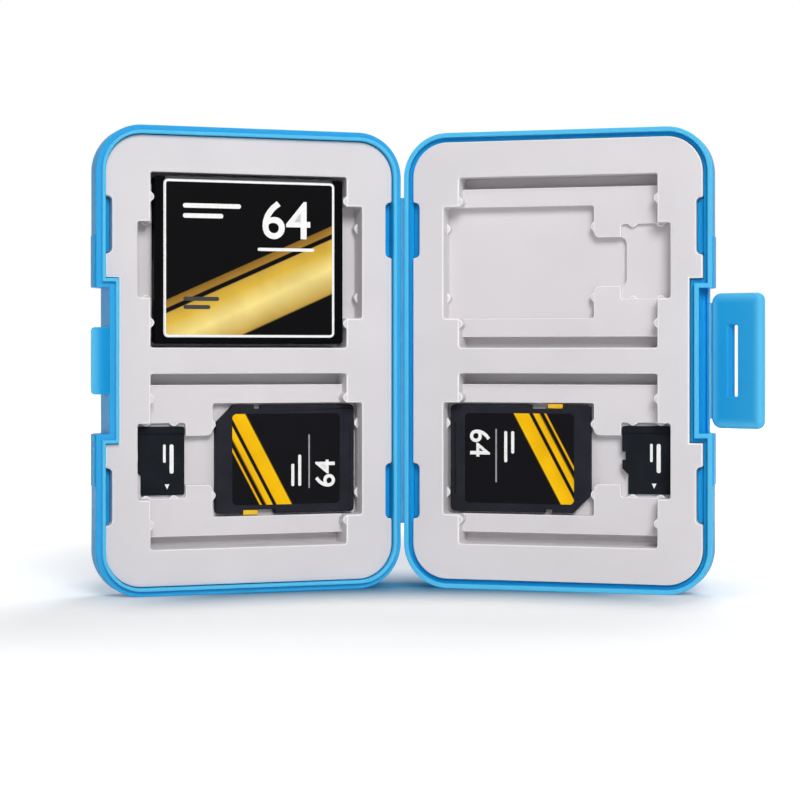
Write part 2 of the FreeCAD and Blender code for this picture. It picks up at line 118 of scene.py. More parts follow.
def bevelEdges(piece, wanted, size, segments):
    # wanted is asked with an edge's two ends, in mm
    emptySelection(piece, "EDGE")
    mesh = piece.data
    for edge in mesh.edges:
        a, b = [mesh.vertices[i].co / mm for i in edge.vertices]
        edge.select = wanted(a, b)
    bpy.ops.object.mode_set(mode="EDIT")
    bpy.ops.mesh.bevel(offset=size * mm, segments=segments, profile=0.5, affect="EDGES", clamp_overlap=False)
    bpy.ops.object.mode_set(mode="OBJECT")
    return piece


def alongDepth(a, b):
    return abs(a.x - b.x) < tiny and abs(a.z - b.z) < tiny


def atDepth(depth):
    return lambda a, b: abs(a.y - depth) < tiny and abs(b.y - depth) < tiny


def uprightAt(places):
    # the edges through the depth that stand at any of these (x, z) places
    def wanted(a, b):
        return alongDepth(a, b) and any(abs(a.x - x) < nearby and abs(a.z - z) < nearby for x, z in places)
    return wanted


def roundedBlock(name, x, z, y, corner, segments):
    return bevelEdges(block(name, x, z, y), alongDepth, corner, segments)


def useModifier(piece, kind, settings):
    pick(piece)
    modifier = piece.modifiers.new(kind.lower(), kind)
    for key, value in settings.items():
        setattr(modifier, key, value)
    bpy.ops.object.modifier_apply(modifier=modifier.name)
    return piece


def combine(piece, operation, others):
    for other in others:
        useModifier(piece, "BOOLEAN", {"operation": operation, "solver": "EXACT", "object": other})
        bpy.data.objects.remove(other)
    return piece


def softenEdges(piece, size, segments):
    return useModifier(piece, "BEVEL", {
        "width": size * mm, "segments": segments, "limit_method": "ANGLE",
        "angle_limit": math.radians(meshing["softAngle"]), "use_clamp_overlap": False,
        "miter_outer": "MITER_ARC",
    })


def closeSeams(piece):
    editAll(piece)
    bpy.ops.mesh.remove_doubles(threshold=meshing["seamGap"] * mm)
    bpy.ops.mesh.normals_make_consistent(inside=False)
    bpy.ops.object.mode_set(mode="OBJECT")
    return piece


def mergeFlats(piece, gap=meshing["seamGap"]):
    # one face for each flat region that the cuts left in pieces, once points closer than the gap are merged
    editAll(piece)
    bpy.ops.mesh.remove_doubles(threshold=gap * mm)
    bpy.ops.mesh.dissolve_limited(angle_limit=math.radians(meshing["flatAngle"]))
    bpy.ops.object.mode_set(mode="OBJECT")
    return piece


def smoothFaces(piece):
    pick(piece)
    bpy.ops.object.shade_smooth_by_angle(angle=math.radians(meshing["smoothAngle"]))
    return useModifier(piece, "WEIGHTED_NORMAL", {"keep_sharp": True, "weight": meshing["normalWeight"]})


def drawOut(piece, run, share, keepY):
    # extrudes the face at the far end of x, and narrows it in depth about the given level
    emptySelection(piece, "FACE")
    far = max(vertex.co.x for vertex in piece.data.vertices)
    for face in piece.data.polygons:
        face.select = face.center.x > far - tiny * mm
    bpy.ops.object.mode_set(mode="EDIT")
    bpy.ops.mesh.extrude_region_move(TRANSFORM_OT_translate={"value": (run * mm, 0, 0)})
    bpy.ops.transform.resize(value=(1, share, 1), center_override=(0, keepY * mm, 0))
    bpy.ops.object.mode_set(mode="OBJECT")
    return piece


def copyOf(piece, name):
    twin = piece.copy()
    twin.data = piece.data.copy()
    twin.name = name
    bpy.context.scene.collection.objects.link(twin)
    return twin


def join(name, pieces):
    pick(pieces[0])
    for piece in pieces[1:]:
        piece.select_set(True)
    if len(pieces) > 1:
        bpy.ops.object.join()
    bpy.context.object.name = name
    return bpy.context.object


def standBase(piece):
    piece.location = hingeLine
    return freeze(piece)


def standLid(piece):
    # the lid mirrors the base, folded up about the hinge line
    piece.scale.x = -1
    freeze(piece)
    closeSeams(piece)
    piece.rotation_euler.z = foldAngle
    piece.location = hingeLine
    return freeze(piece)


# Materials
# A colour Mix node has its share at socket 0, its two colours at 6 and 7 and its result at output 2.


def colour(hexCode):
    channels = [int(hexCode[i:i + 2], 16) / 255 for i in (1, 3, 5)]
    linear = [c / 12.92 if c <= 0.04045 else ((c + 0.055) / 1.055) ** 2.4 for c in channels]
    return (*linear, 1.0)


def addNode(tree, kind, settings=None, links=None):
    # small letters name a node's own settings, other keys its sockets
    node = tree.nodes.new(kind)
    for key, value in (settings or {}).items():
        if isinstance(key, str) and key[0].islower():
            setattr(node, key, value)
        else:
            node.inputs[key].default_value = value
    for key, source in (links or {}).items():
        tree.links.new(source, node.inputs[key])
    return node


def newMaterial(name, sockets):
    material = bpy.data.materials.new(name)
    material.use_nodes = True
    tree = material.node_tree
    shader = tree.nodes["Principled BSDF"]
    for key, value in sockets.items():
        shader.inputs[key].default_value = value
    place = addNode(tree, "ShaderNodeTexCoord").outputs["Object"]
    return material, tree, shader, place


def scaleFor(size):
    # a noise feature spans about one unit, so its scale is one over its real size
    return 1 / (size * mm)


def grain(tree, shader, place, size, depth, strength):
    # fine uneven skin, as bump
    noise = addNode(tree, "ShaderNodeTexNoise", {"Scale": scaleFor(size), "Detail": 3.0}, {"Vector": place})
    bump = addNode(tree, "ShaderNodeBump", {"Strength": strength, "Distance": depth * mm},
                   {"Height": noise.outputs["Fac"]})
    tree.links.new(bump.outputs["Normal"], shader.inputs["Normal"])


def drift(tree, place, low, high, size):
    # slow change over the surface between two values
    noise = addNode(tree, "ShaderNodeTexNoise", {"Scale": scaleFor(size), "Detail": 2.0}, {"Vector": place})
    return addNode(tree, "ShaderNodeMapRange", {
        "From Min": 0.3, "From Max": 0.7, "To Min": low, "To Max": high,
    }, {"Value": noise.outputs["Fac"]}).outputs["Result"]


def driftRoughness(tree, shader, place, low, high, size):
    tree.links.new(drift(tree, place, low, high, size), shader.inputs["Roughness"])


def driftColour(tree, shader, place, low, high, size):
    share = drift(tree, place, 0.0, 1.0, size)
    mix = addNode(tree, "ShaderNodeMix", {"data_type": "RGBA", 6: colour(low), 7: colour(high)}, {0: share})
    tree.links.new(mix.outputs[2], shader.inputs["Base Color"])
    return mix.outputs[2]


# depths and lengths in mm
# the palest blue is a painted highlight for the rims, the lug's nose and the latch's edges, with the depths
# and lengths over which it fades in
shellFinish = {
    "blue": "#1DA1E0", "deepBlue": "#189ADA", "highlightBlue": "#58C0EC",
    "baseLitDepths": (0.1, 1.2), "lidLitDepths": (-0.9, 0.6), "noseLightStart": 0.8, "latchEdge": 2.4, "freeEndLight": 0.25,
    "roughness": (0.36, 0.46), "shine": 0.08, "glow": 0.3, "glowDepth": 1.4,
}


def rimHighlight(rim):
    # a painted highlight: paler at the half's own rim, fading out down to a depth below it, so that the faces
    # further down are left darker
    def highlightShare(tree, local):
        depth = addNode(tree, "ShaderNodeSeparateXYZ", {}, {"Vector": local}).outputs["Y"]
        return addNode(tree, "ShaderNodeMapRange", {
            "interpolation_type": "SMOOTHSTEP", "From Min": rim[0], "From Max": rim[1],
            "To Min": 1.0, "To Max": 0.0,
        }, {"Value": depth}).outputs["Result"]
    return highlightShare


def noseHighlight(rim, start, end, middle, length):
    # the rim's painted highlight, and a painted highlight that grows along the lug's nose from its start to
    # its end
    def highlightShare(tree, local):
        sides = addNode(tree, "ShaderNodeSeparateXYZ", {}, {"Vector": local}).outputs
        along = addNode(tree, "ShaderNodeMapRange", {
            "interpolation_type": "SMOOTHSTEP", "From Min": start, "From Max": end,
        }, {"Value": sides["X"]})
        on = addNode(tree, "ShaderNodeMath", {"operation": "COMPARE", 1: middle, 2: length / 2},
                     {0: sides["Z"]})
        tip = addNode(tree, "ShaderNodeMath", {"operation": "MULTIPLY"},
                      {0: along.outputs["Result"], 1: on.outputs[0]})
        return addNode(tree, "ShaderNodeMath", {"operation": "MAXIMUM"},
                       {0: rimHighlight(rim)(tree, local), 1: tip.outputs[0]}).outputs[0]
    return highlightShare


def plateHighlight(middle, size):
    # a painted highlight along the outline of a plate, and painted light that grows a little towards its free
    # end
    def highlightShare(tree, local):
        offset = addNode(tree, "ShaderNodeVectorMath", {
            "operation": "SUBTRACT", 1: (middle[0], 0, middle[1]),
        }, {0: local})
        apart = addNode(tree, "ShaderNodeVectorMath", {"operation": "ABSOLUTE"}, {0: offset.outputs[0]})
        inside = addNode(tree, "ShaderNodeVectorMath", {
            "operation": "SUBTRACT", 1: (size[0] / 2, 0, size[1] / 2),
        }, {0: apart.outputs[0]})
        sides = addNode(tree, "ShaderNodeSeparateXYZ", {}, {"Vector": inside.outputs[0]}).outputs
        nearest = addNode(tree, "ShaderNodeMath", {"operation": "MAXIMUM"}, {0: sides["X"], 1: sides["Z"]})
        edge = addNode(tree, "ShaderNodeMapRange", {
            "interpolation_type": "SMOOTHSTEP", "From Min": -shellFinish["latchEdge"], "From Max": 0.0,
        }, {"Value": nearest.outputs[0]})
        along = addNode(tree, "ShaderNodeSeparateXYZ", {}, {"Vector": offset.outputs[0]}).outputs["X"]
        free = addNode(tree, "ShaderNodeMapRange", {
            "From Min": -size[0] / 2, "From Max": size[0] / 2, "To Max": shellFinish["freeEndLight"],
        }, {"Value": along})
        return addNode(tree, "ShaderNodeMath", {"operation": "ADD", "use_clamp": True},
                       {0: edge.outputs["Result"], 1: free.outputs["Result"]}).outputs[0]
    return highlightShare


def mouldedPolypropylene(name, origin, turn, highlightShare):
    # injection moulded polypropylene: satin and a little translucent, with a painted highlight along its
    # rims; origin and turn bring the piece's own drawing back, in mm, so that the painted highlight follows
    # its rim
    material, tree, shader, place = newMaterial(name, {
        "IOR": 1.49, "Specular IOR Level": shellFinish["shine"], "Subsurface Weight": shellFinish["glow"],
        "Subsurface Radius": (0.35, 0.75, 1.0), "Subsurface Scale": shellFinish["glowDepth"] * mm,
    })
    body = driftColour(tree, shader, place, shellFinish["deepBlue"], shellFinish["blue"], size=26.0)
    local = addNode(tree, "ShaderNodeMapping", {
        "vector_type": "TEXTURE", "Location": origin, "Rotation": (0, 0, turn), "Scale": (mm, mm, mm),
    }, {"Vector": place})
    # the painted highlight is mixed over the body's blue
    mix = addNode(tree, "ShaderNodeMix", {"data_type": "RGBA", 7: colour(shellFinish["highlightBlue"])},
                  {0: highlightShare(tree, local.outputs["Vector"]), 6: body})
    tree.links.new(mix.outputs[2], shader.inputs["Base Color"])
    driftRoughness(tree, shader, place, *shellFinish["roughness"], size=1.2)
    grain(tree, shader, place, size=0.5, depth=0.012, strength=0.25)
    return material


def foldingPolypropylene(name, low, high):
    # the same plastic rolled thin at the folds, in the blues given for each web, and light comes through it
    material, tree, shader, place = newMaterial(name, {
        "IOR": 1.49, "Roughness": 0.3, "Transmission Weight": 0.25, "Subsurface Weight": 0.4,
        "Subsurface Radius": (0.5, 0.9, 1.0), "Subsurface Scale": 0.6 * mm,
    })
    driftColour(tree, shader, place, low, high, size=4.0)
    grain(tree, shader, place, size=0.4, depth=0.01, strength=0.25)
    return material


# the palest grey is a painted highlight on the trays' rounded edges
trayFinish = {"grey": "#D6D2D5", "paleGrey": "#DBD7DA", "edge": "#F6F4F5", "roughness": (0.57, 0.7)}


def mouldedElastomer():
    # soft moulded elastomer: matt, faintly powdery, with light sinking in a little at its edges
    material, tree, shader, place = newMaterial("elastomer_moulded", {
        "IOR": 1.45, "Subsurface Weight": 0.06, "Subsurface Radius": (1.0, 0.9, 0.85),
        "Subsurface Scale": 0.8 * mm, "Sheen Weight": 0.08, "Sheen Roughness": 0.5,
    })
    body = driftColour(tree, shader, place, trayFinish["grey"], trayFinish["paleGrey"], size=18.0)
    # a painted highlight: the rounded edges that look to the front are drawn paler
    edge = addNode(tree, "ShaderNodeAttribute", {"attribute_name": "edge"})
    mix = addNode(tree, "ShaderNodeMix", {"data_type": "RGBA", 7: colour(trayFinish["edge"])},
                  {0: edge.outputs["Fac"], 6: body})
    tree.links.new(mix.outputs[2], shader.inputs["Base Color"])
    driftRoughness(tree, shader, place, *trayFinish["roughness"], size=0.8)
    grain(tree, shader, place, size=0.35, depth=0.01, strength=0.3)
    return material


def mouldedCardPlastic(name, low, high, roughness):
    # glass-filled black plastic with the fine spark-eroded texture of its mould, drawn coarse enough to show
    material, tree, shader, place = newMaterial(name, {"IOR": 1.5, "Specular IOR Level": 0.03})
    driftColour(tree, shader, place, low, high, size=5.0)
    driftRoughness(tree, shader, place, *roughness, size=0.5)
    grain(tree, shader, place, size=0.22, depth=0.01, strength=0.35)
    return material


def brushedSteel():
    # rolled stainless sheet: bright, with fine lines along the rolling direction
    material, tree, shader, place = newMaterial("stainless_rolled", {
        "Metallic": 1.0, "Base Color": colour("#D5D8DB"), "Anisotropic": 0.4,
    })
    stretch = addNode(tree, "ShaderNodeMapping", {"Scale": (0.06, 0.06, 1.0)}, {"Vector": place})
    driftRoughness(tree, shader, stretch.outputs["Vector"], 0.22, 0.42, size=0.12)
    return material


def goldPlate():
    # hard gold over copper: bright yellow metal with faint wipe marks
    material, tree, shader, place = newMaterial("gold_plated", {
        "Metallic": 1.0, "Base Color": colour("#E3B550"),
    })
    driftRoughness(tree, shader, place, 0.16, 0.34, size=0.6)
    return material


def solderMask():
    # circuit board under dark green lacquer, with the tracks showing as a faint relief
    material, tree, shader, place = newMaterial("solder_mask", {"Roughness": 0.3, "IOR": 1.52})
    driftColour(tree, shader, place, "#0B3A22", "#12502F", size=1.4)
    grain(tree, shader, place, size=0.6, depth=0.02, strength=0.4)
    return material


def plainMoulding(name, low, high, roughness):
    # small acetal or nylon moulding: even colour, slightly waxy
    material, tree, shader, place = newMaterial(name, {
        "IOR": 1.48, "Subsurface Weight": 0.1, "Subsurface Scale": 0.3 * mm,
    })
    driftColour(tree, shader, place, low, high, size=2.0)
    driftRoughness(tree, shader, place, *roughness, size=0.6)
    grain(tree, shader, place, size=0.25, depth=0.006, strength=0.25)
    return material


def printedFilm(name, centre, turn, slant, stops):
    # laminated label film: slanted bands of ink under a thin clear coat
    # centre and turn bring the card's own plane to x across and z up, in mm
    material, tree, shader, place = newMaterial(name, {
        "IOR": 1.5, "Specular IOR Level": 0.04, "Coat Weight": 0.03, "Coat Roughness": 0.15,
    })
    local = addNode(tree, "ShaderNodeMapping", {
        "vector_type": "TEXTURE", "Location": centre, "Rotation": turn, "Scale": (mm, mm, mm),
    }, {"Vector": place})
    across = addNode(tree, "ShaderNodeVectorMath", {"operation": "DOT_PRODUCT", 1: slant},
                     {0: local.outputs["Vector"]})
    first, last = stops[0][0], stops[-1][0]
    share = addNode(tree, "ShaderNodeMapRange", {"From Min": first, "From Max": last},
                    {"Value": across.outputs["Value"]})
    bands = addNode(tree, "ShaderNodeValToRGB", {}, {"Fac": share.outputs["Result"]})
    ramp = bands.color_ramp
    for i, (edge, tint) in enumerate(stops):
        stop = ramp.elements[i] if i < 2 else ramp.elements.new(1.0)  # a new ramp has two stops
        stop.position = (edge - first) / (last - first)
        stop.color = colour(tint)
    tone = drift(tree, place, 0.9, 1.06, size=7.0)
    shaded = addNode(tree, "ShaderNodeMix", {"data_type": "RGBA", "blend_type": "MULTIPLY", 0: 1.0},
                     {6: bands.outputs["Color"], 7: tone})
    tree.links.new(shaded.outputs[2], shader.inputs["Base Color"])
    driftRoughness(tree, shader, place, 0.35, 0.45, size=0.9)
    grain(tree, shader, place, size=0.4, depth=0.004, strength=0.2)
    return material


def printInk(name, low, high):
    # screen-printed ink: matt, slightly uneven where it was pulled through the mesh
    material, tree, shader, place = newMaterial(name, {"IOR": 1.5})
    driftColour(tree, shader, place, low, high, size=1.0)
    driftRoughness(tree, shader, place, 0.42, 0.55, size=0.3)
    return material


def finish(piece, material, body=None):
    piece.data.materials.clear()
    piece.data.materials.append(material)
    if body:
        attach(piece, body)


# Case shells

shell = {
    "width": 69.2, "height": 102.0, "depth": 10.5, "hingeGap": 0.3, "rimGap": 0.05,
    "corner": 10.0, "cornerSteps": 16, "backRound": 5.5, "backSteps": 8, "insideSteps": 4,
    "wall": 1.95, "floor": 1.6, "edgeRound": 0.14, "edgeSteps": 2, "rimRound": 0.22, "rimSteps": 3,
    "land": 1.05, "rebateDepth": 1.45, "lipGap": 0.15, "lipHeight": 1.0, "insideShare": 0.7,
    "recessLength": 31.6, "recessDepth": 2.9,
    "padRun": 11.2, "padRise": 0.25, "padDrop": 0.8, "padSet": 0.02, "padSteps": 3,
    "ledgeDrop": 2.6, "ledgeDepth": 3.4, "ledgeReach": 1.85, "ledgeRound": 0.8, "ledgeSteps": 4,
    "grooveWidth": 1.2, "grooveDepth": 0.75, "grooveSet": 0.85, "grooveSides": 40,
    "lugLength": 14.5, "lugTop": 0.6, "lugNear": 2.05, "lugFar": 4.15, "lugRamp": 1.6, "lugRun": 1.8,
    "lugTip": 0.7, "lugCorner": 0.8, "lugSteps": 6, "trayInset": 2.1, "keyGap": 0.15, "keyTop": 2.5,
    "notchLength": 12.4, "notchDepth": 1.45, "notchSpread": 58.6, "notchCorner": 1.1, "notchSteps": 6,
}
reach = shell["hingeGap"] + shell["width"]
recessWall = reach - shell["recessDepth"]
lugEnd = recessWall + shell["lugRamp"] + shell["lugRun"]
middleZ = shell["height"] / 2
cavityFloor = shell["depth"] - shell["floor"]
traySides = (shell["hingeGap"] + shell["trayInset"], reach - shell["trayInset"])


def recessCutter(inset):
    # the recess in the outer wall that the latch folds into
    x = (recessWall - inset, reach + overcut)
    z = around(middleZ, shell["recessLength"] + 2 * inset)
    return block("recessCutter", x, z, (-shell["depth"], shell["depth"] + overcut))


def planBlock(name, inset, front, back):
    # the outline of a half, drawn in by the inset
    x = (shell["hingeGap"] + inset, reach - inset)
    z = (inset, shell["height"] - inset)
    return roundedBlock(name, x, z, (front, back), shell["corner"] - inset, shell["cornerSteps"])


def planWithRecess(name, inset, front, back):
    return combine(planBlock(name, inset, front, back), "DIFFERENCE", [recessCutter(inset)])


def notchBlocks(inset, front):
    # the four notches in a tray's sides or, drawn in by the inset, the keys on the shell that stand in them
    y = (front, shell["depth"])
    corner = shell["notchCorner"] - inset
    blocks = []
    for side in traySides:
        x = around(side, 2 * (shell["notchDepth"] - inset))
        for half in (-1, 1):
            z = around(middleZ + half * shell["notchSpread"] / 2, shell["notchLength"] - 2 * inset)
            blocks.append(roundedBlock("notch", x, z, y, corner, shell["notchSteps"]))
    return blocks


def cavityCutter():
    cutter = planBlock("cavityCutter", shell["wall"], -shell["depth"], cavityFloor)
    bevelEdges(cutter, atDepth(cavityFloor), shell["backRound"] - shell["wall"], shell["insideSteps"])
    keys = notchBlocks(shell["keyGap"], shell["keyTop"])
    return combine(cutter, "DIFFERENCE", [recessCutter(shell["wall"])] + keys)


def gripPads():
    # set a hair off the recess, so that the pads and the wall share no edge
    pads = []
    far = reach + shell["padRise"]
    apart = (shell["recessLength"] + shell["padRun"]) / 2 + shell["padSet"]
    y = (shell["rimGap"] + shell["padDrop"], shell["depth"] - shell["backRound"])

    def outerEdge(a, b):
        return min(a.x, b.x) > far - tiny

    for side in (-1, 1):
        z = around(middleZ + side * apart, shell["padRun"])
        pad = block("pad", (reach - shell["wall"] / 2, far), z, y)
        pads.append(bevelEdges(pad, outerEdge, shell["edgeRound"], shell["padSteps"]))
    return pads


def withPads(body):
    # the edges are softened before the pads are joined, because a bevel would run into them
    return combine(softenEdges(body, shell["edgeRound"], shell["edgeSteps"]), "UNION", gripPads())


def outerBlock(name):
    body = planBlock(name, 0, shell["rimGap"], shell["depth"])
    bevelEdges(body, atDepth(shell["depth"]), shell["backRound"], shell["backSteps"])
    return combine(body, "DIFFERENCE", [recessCutter(0)])


def foldGroove(front):
    # the round groove beside the latch's fold
    length = shell["recessLength"] + 2 * overcut
    clearSelection()
    bpy.ops.mesh.primitive_cylinder_add(vertices=shell["grooveSides"], radius=mm, depth=length * mm)
    piece = bpy.context.object
    piece.scale = (shell["grooveWidth"] / 2, shell["grooveDepth"], 1)
    piece.location = ((recessWall + shell["grooveSet"]) * mm, front * mm, middleZ * mm)
    return freeze(piece)


def latchLedge():
    x = (recessWall - shell["wall"] / 2, recessWall + shell["ledgeReach"])
    y = (shell["ledgeDrop"], shell["ledgeDrop"] + shell["ledgeDepth"])
    ledge = block("ledge", x, around(middleZ, shell["recessLength"]), y)

    def outerBack(a, b):
        return min(a.x, b.x) > x[1] - tiny and min(a.y, b.y) > y[1] - tiny

    bevelEdges(ledge, outerBack, shell["ledgeRound"], shell["ledgeSteps"])
    return combine(ledge, "DIFFERENCE", [foldGroove(y[0])])


def snapLug():
    # the nose that the latch slot drops over, drawn out of the recess wall in two steps
    x = (recessWall - shell["wall"] / 2, recessWall)
    top, near, far = shell["lugTop"], shell["lugNear"], shell["lugFar"]
    lug = block("lug", x, around(middleZ, shell["lugLength"]), (top, far))
    drawOut(lug, shell["lugRamp"], (far - near) / (far - top), far)
    drawOut(lug, shell["lugRun"], shell["lugTip"] / (far - near), (near + far) / 2)

    def tipCorner(a, b):
        return min(a.x, b.x) > lugEnd - tiny and abs(a.z - b.z) < tiny

    return bevelEdges(lug, tipCorner, shell["lugCorner"], shell["lugSteps"])


def cornerReach(p):
    # distance from the centre of the nearest corner arc, or 0 away from the corners
    radius = shell["corner"]
    dx = max(shell["hingeGap"] + radius - p.x, p.x - (reach - radius), 0)
    dz = max(radius - p.z, p.z - (shell["height"] - radius), 0)
    return math.hypot(dx, dz) if dx > 0 and dz > 0 else 0


def insideRim(a, b, inset):
    # whether an edge lies on the rim's inner side, in from the outline by most of the inset
    most = shell["insideShare"] * inset
    rest = inset - most
    middle = (a + b) / 2
    if abs(middle.z - middleZ) < shell["recessLength"] / 2 + rest and middle.x > recessWall - rest:
        return False
    x = min(a.x, b.x) > shell["hingeGap"] + most and max(a.x, b.x) < reach - most
    z = min(a.z, b.z) > most and max(a.z, b.z) < shell["height"] - most
    return x and z and cornerReach(middle) < shell["corner"] - most


def lidShell():
    body = outerBlock("lid_shell_moulding")
    lipInset = shell["land"] + shell["lipGap"]
    lipFront = shell["rimGap"] - shell["lipHeight"]
    lip = planWithRecess("lip", lipInset, lipFront, shell["rimGap"] + shell["land"])
    combine(body, "UNION", [lip])
    combine(body, "DIFFERENCE", [cavityCutter()])
    mergeFlats(body, meshing["cutGap"])

    def outerRim(a, b):
        return atDepth(shell["rimGap"])(a, b) and not insideRim(a, b, lipInset)

    for edges in (atDepth(lipFront), outerRim):
        bevelEdges(body, edges, shell["rimRound"], shell["rimSteps"])
    return withPads(combine(body, "UNION", [snapLug()]))


def baseShell():
    body = outerBlock("base_shell_moulding")
    combine(body, "DIFFERENCE", [cavityCutter()])
    rebate = planWithRecess("rebate", shell["land"], -shell["depth"], shell["rebateDepth"])
    combine(body, "DIFFERENCE", [rebate])
    mergeFlats(body, meshing["cutGap"])
    bevelEdges(body, atDepth(shell["rimGap"]), shell["rimRound"], shell["rimSteps"])
    return withPads(combine(body, "UNION", [latchLedge()]))


# the base's rims carry the painted highlight
basePlastic = mouldedPolypropylene("polypropylene_moulded_base", hingeLine, 0.0,
                                   rimHighlight(shellFinish["baseLitDepths"]))
basePiece = smoothFaces(standBase(baseShell()))
finish(basePiece, basePlastic, "base")
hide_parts("base_shell")

# the lid's rims and the lug's nose carry the painted highlight
lidHighlights = noseHighlight(shellFinish["lidLitDepths"], -recessWall - shellFinish["noseLightStart"], -lugEnd, middleZ,
                      shell["lugLength"])
lidPlastic = mouldedPolypropylene("polypropylene_moulded_lid", hingeLine, foldAngle, lidHighlights)
lidPiece = smoothFaces(standLid(lidShell()))
finish(lidPiece, lidPlastic, "lid")
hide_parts("lid_shell")
print("shells modelled")

# Soft trays

# largeNubs and middleNubs are a nub's distances from its pocket's middle in x and z, and smallNubs in z and x
tray = {
    "face": 0.3, "backSlope": 3.7, "faceRound": 0.3, "faceSteps": 4, "ledgeRound": 0.18, "ledgeSteps": 3,
    "mouthRound": 0.5, "mouthSteps": 5, "highlightTilt": (0.15, 0.98),
    "pocketMiddles": (29.1, 72.9), "corner": 0.55, "cornerSteps": 6,
    "largeMiddle": 35.3, "largeSize": (44.5, 38.1), "largeDepth": 3.8,
    "grooveWidth": 2.45, "grooveDepth": 7.6,
    "middleMiddle": 26.15, "middleSize": (33.5, 25.0), "middleDepth": 6.0,
    "smallMiddle": 54.7, "smallSize": (11.4, 16.5), "smallDepth": 4.8,
    "channelEnd": 50.1, "channelWidth": 10.8, "channelCorner": 1.5, "tabRound": 1.3,
    "nubRadius": 0.95, "nubRound": 0.22, "nubDrop": 0.08, "nubSink": 0.1, "nubSides": 32, "nubSteps": 3,
    "footHalves": (0.48, 1.17), "footRound": 0.1, "footSet": 0.06, "footDrop": 0.03, "footLift": 0.02,
    "largeNubs": (22.38, 13.65), "middleNubs": (16.98, 7.8), "smallNubs": (8.48, 3.1),
}
mouthY = -overcut  # cutters start above the tray's face


def pocketBlock(name, x, z, depth):
    return roundedBlock(name, x, z, (mouthY, depth), tray["corner"], tray["cornerSteps"])


def largeCutter(z):
    # cut to the grooves' floor, less the ledge that is left standing between the two finger grooves
    width, height = tray["largeSize"]
    cutter = pocketBlock("large", around(tray["largeMiddle"], width), around(z, height), tray["grooveDepth"])
    ledge = block("ledge", around(tray["largeMiddle"], width + 2 * overcut),
                  around(z, height - 2 * tray["grooveWidth"]), (tray["largeDepth"], shell["depth"]))
    return combine(cutter, "DIFFERENCE", [ledge])


def channelledCutter(name, x, z, height, depth, channelStart, tabX):
    # a pocket with the finger channel run into it, and the tabs where they meet rounded
    cutter = pocketBlock(name, x, around(z, height), depth)
    channelZ = around(z, tray["channelWidth"])
    channel = roundedBlock("channel", (channelStart, tray["channelEnd"]), channelZ, (mouthY, depth),
                           tray["channelCorner"], tray["cornerSteps"])
    mergeFlats(combine(cutter, "UNION", [channel]))
    tabs = [(tabX, tabZ) for tabZ in channelZ]
    return bevelEdges(cutter, uprightAt(tabs), tray["tabRound"], tray["cornerSteps"])


def pocketCutters(z):
    middleX = around(tray["middleMiddle"], tray["middleSize"][0])
    smallX = around(tray["smallMiddle"], tray["smallSize"][0])
    middle = channelledCutter("middle", middleX, z, tray["middleSize"][1], tray["middleDepth"],
                              tray["middleMiddle"], middleX[1])
    small = channelledCutter("small", smallX, z, tray["smallSize"][1], tray["smallDepth"],
                             middleX[1] + tray["tabRound"], smallX[0])
    return [largeCutter(z), middle, small]


def roundRib(x, top, bottom, halfX, halfZ, edge):
    clearSelection()
    bpy.ops.mesh.primitive_cylinder_add(vertices=tray["nubSides"], radius=mm, depth=(bottom - top) * mm,
                                        rotation=(math.radians(90), 0, 0))
    piece = freeze(bpy.context.object)
    piece.scale = (halfX, 1, halfZ)
    piece.location = (x * mm, (top + bottom) / 2 * mm, 0)
    return bevelEdges(freeze(piece), atDepth(top), edge, tray["nubSteps"])


def nubDraft(behind, top, bottom):
    # half-round rib with a foot flared along its wall, which stands at x = 0 with the card on its left
    radius = tray["nubRadius"]
    foot = roundRib(tray["footSet"], top + tray["footDrop"], bottom - tray["footLift"], *tray["footHalves"],
                    tray["footRound"])
    return combine(roundRib(behind, top, bottom, radius, radius, tray["nubRound"]), "UNION", [foot])


def nubCopy(draft, x, z, turn):
    twin = copyOf(draft, "nub")
    twin.rotation_euler.y = math.radians(turn)
    twin.location = (x * mm, 0, z * mm)
    return freeze(twin)


def pocketNubs():
    # one nub is drawn for each size of pocket and copied to the four places that pinch the card
    largeX, middleX, smallZ = tray["largeSize"][0] / 2, tray["middleSize"][0] / 2, tray["smallSize"][1] / 2
    faceTop, ledgeTop = tray["face"] + tray["nubDrop"], tray["largeDepth"] + tray["nubDrop"]
    sink = tray["nubSink"]
    large = nubDraft(tray["largeNubs"][0] - largeX, faceTop, tray["largeDepth"] + sink)
    middle = nubDraft(tray["middleNubs"][0] - middleX, ledgeTop, tray["middleDepth"] + sink)
    small = nubDraft(tray["smallNubs"][0] - smallZ, ledgeTop, tray["smallDepth"] + sink)
    nubs = []
    for z in tray["pocketMiddles"]:
        for side, half in ((-1, -1), (-1, 1), (1, -1), (1, 1)):
            turn = 0 if side > 0 else 180
            x = tray["largeMiddle"] + side * largeX
            nubs.append(nubCopy(large, x, z + half * tray["largeNubs"][1], turn))
            x = tray["middleMiddle"] + side * middleX
            nubs.append(nubCopy(middle, x, z + half * tray["middleNubs"][1], turn))
            x = tray["smallMiddle"] + half * tray["smallNubs"][1]
            nubs.append(nubCopy(small, x, z + side * smallZ, -90 * side))
    for draft in (large, middle, small):
        bpy.data.objects.remove(draft)
    return join("nubs", nubs)


def notchMouths():
    ends = [middleZ + half * shell["notchSpread"] / 2 + end * shell["notchLength"] / 2
            for half in (-1, 1) for end in (-1, 1)]
    return [(x, z) for x in traySides for z in ends]


def ledgeEdge(a, b):
    # the ledge's free edges, not those where it meets the end walls
    fromMiddle = abs((a.x + b.x) / 2 - tray["largeMiddle"])
    atEnd = abs(fromMiddle - tray["largeSize"][0] / 2) < nearby
    return atDepth(tray["largeDepth"])(a, b) and not atEnd


